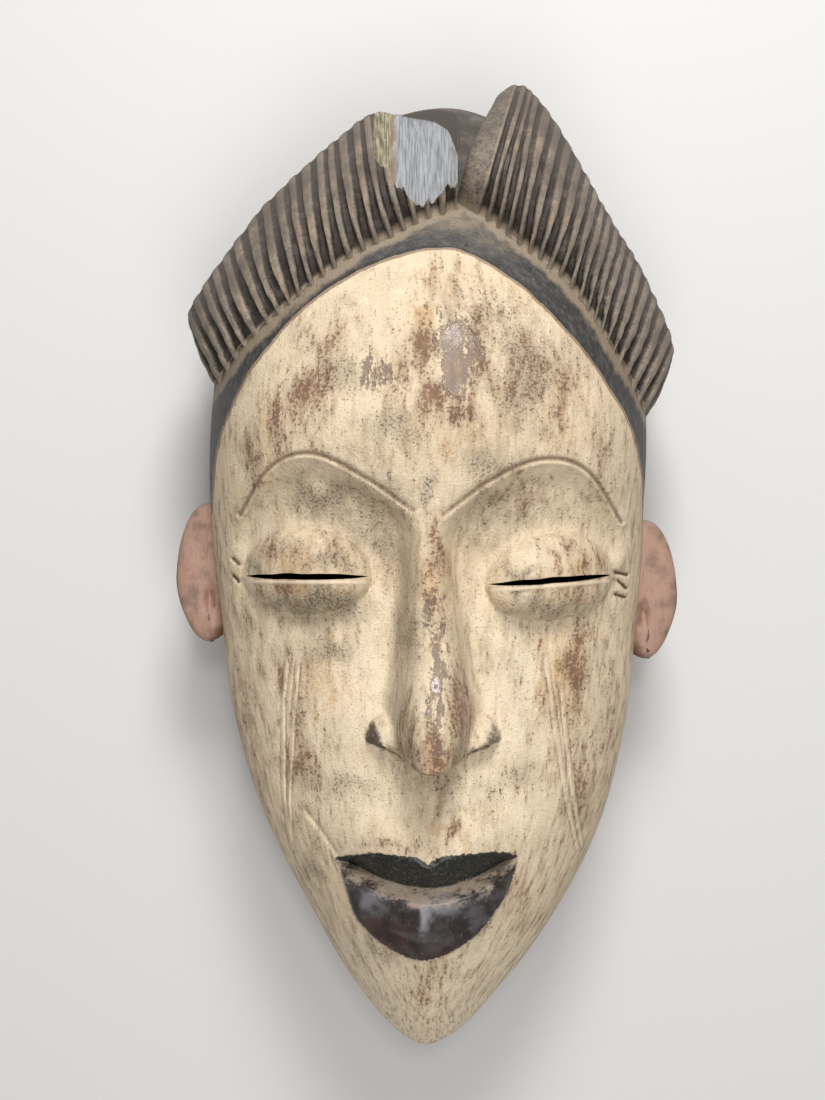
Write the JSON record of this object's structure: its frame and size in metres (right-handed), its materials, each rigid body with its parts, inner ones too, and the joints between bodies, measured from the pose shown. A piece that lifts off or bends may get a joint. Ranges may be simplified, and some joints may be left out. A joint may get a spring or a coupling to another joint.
{
  "type": "carved wooden face mask",
  "caption": "Life-size carved face mask: hollow behind, narrow slit eyes, ears, and a fluted coiffure in side lobes with one broken tip; it lies on its flat back rim.",
  "frame": {"origin": "on the surface it lies on, under the middle of the mask's bounding box", "axes": "+Z out of the face, +Y from the chin to the crown, +X to the viewer's right"},
  "size_m": [0.1626, 0.3055, 0.1127],
  "materials": {
    "painted_wood": "worn cream kaolin over dark carved wood, with a black hair band, dusty dark flutes and glossy dark lips"
  },
  "bodies": {
    "root": {"carved_mask": "painted_wood"}
  },
  "joints": []
}
